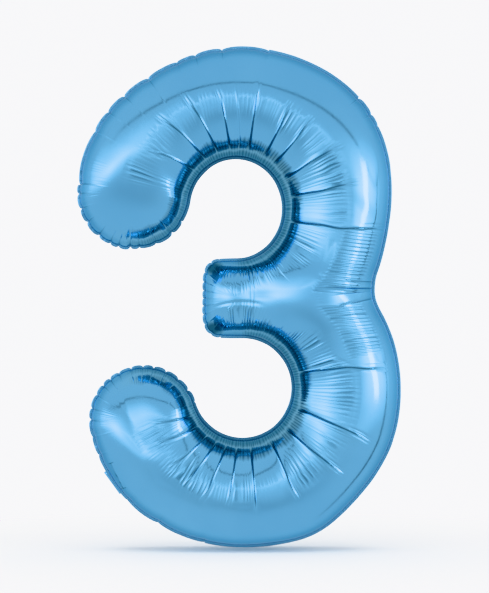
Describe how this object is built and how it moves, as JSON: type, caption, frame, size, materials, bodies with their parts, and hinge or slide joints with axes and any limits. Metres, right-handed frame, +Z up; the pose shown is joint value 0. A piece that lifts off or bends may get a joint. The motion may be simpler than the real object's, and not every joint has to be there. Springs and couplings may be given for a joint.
{
  "type": "foil number balloon",
  "caption": "Inflated foil balloon in the shape of a numeral, sealed round its edge, with a flat film valve and a folded filling tail.",
  "frame": {"origin": "middle of the bounding box's foot: below the middle of the digit, at its lowest point, in the plane of the heat seal", "axes": "+Z up the digit, +X to the right as it is read, +Y towards the back; the digit is read from -Y, the open side of the numeral faces -X, and the seal lies in the plane Y = 0"},
  "size_m": [0.5563, 0.199, 0.8597],
  "materials": {
    "foil": "metallised film, light blue, high gloss",
    "seal": "welded metallised film, light blue",
    "valve_film": "clear polyethylene film",
    "release_print": "matt white heat-resistant print"
  },
  "bodies": {
    "envelope": {"front_panel": "foil", "back_panel": "foil", "heat_seal": "seal", "valve_front_film": "valve_film", "valve_back_film": "valve_film", "valve_release_patch": "release_print"},
    "tail": {"tail_front_foil": "foil", "tail_back_foil": "foil", "tail_seal": "seal", "tail_valve_front_film": "valve_film", "tail_valve_back_film": "valve_film"}
  },
  "joints": [
    {"name": "tail_fold", "type": "hinge", "parent": "envelope", "child": "tail", "pos_m": [-0.21903, 0, 0.11037], "axis": [-0.5856, 0, 0.8106], "range_deg": [0, 200]}
  ]
}
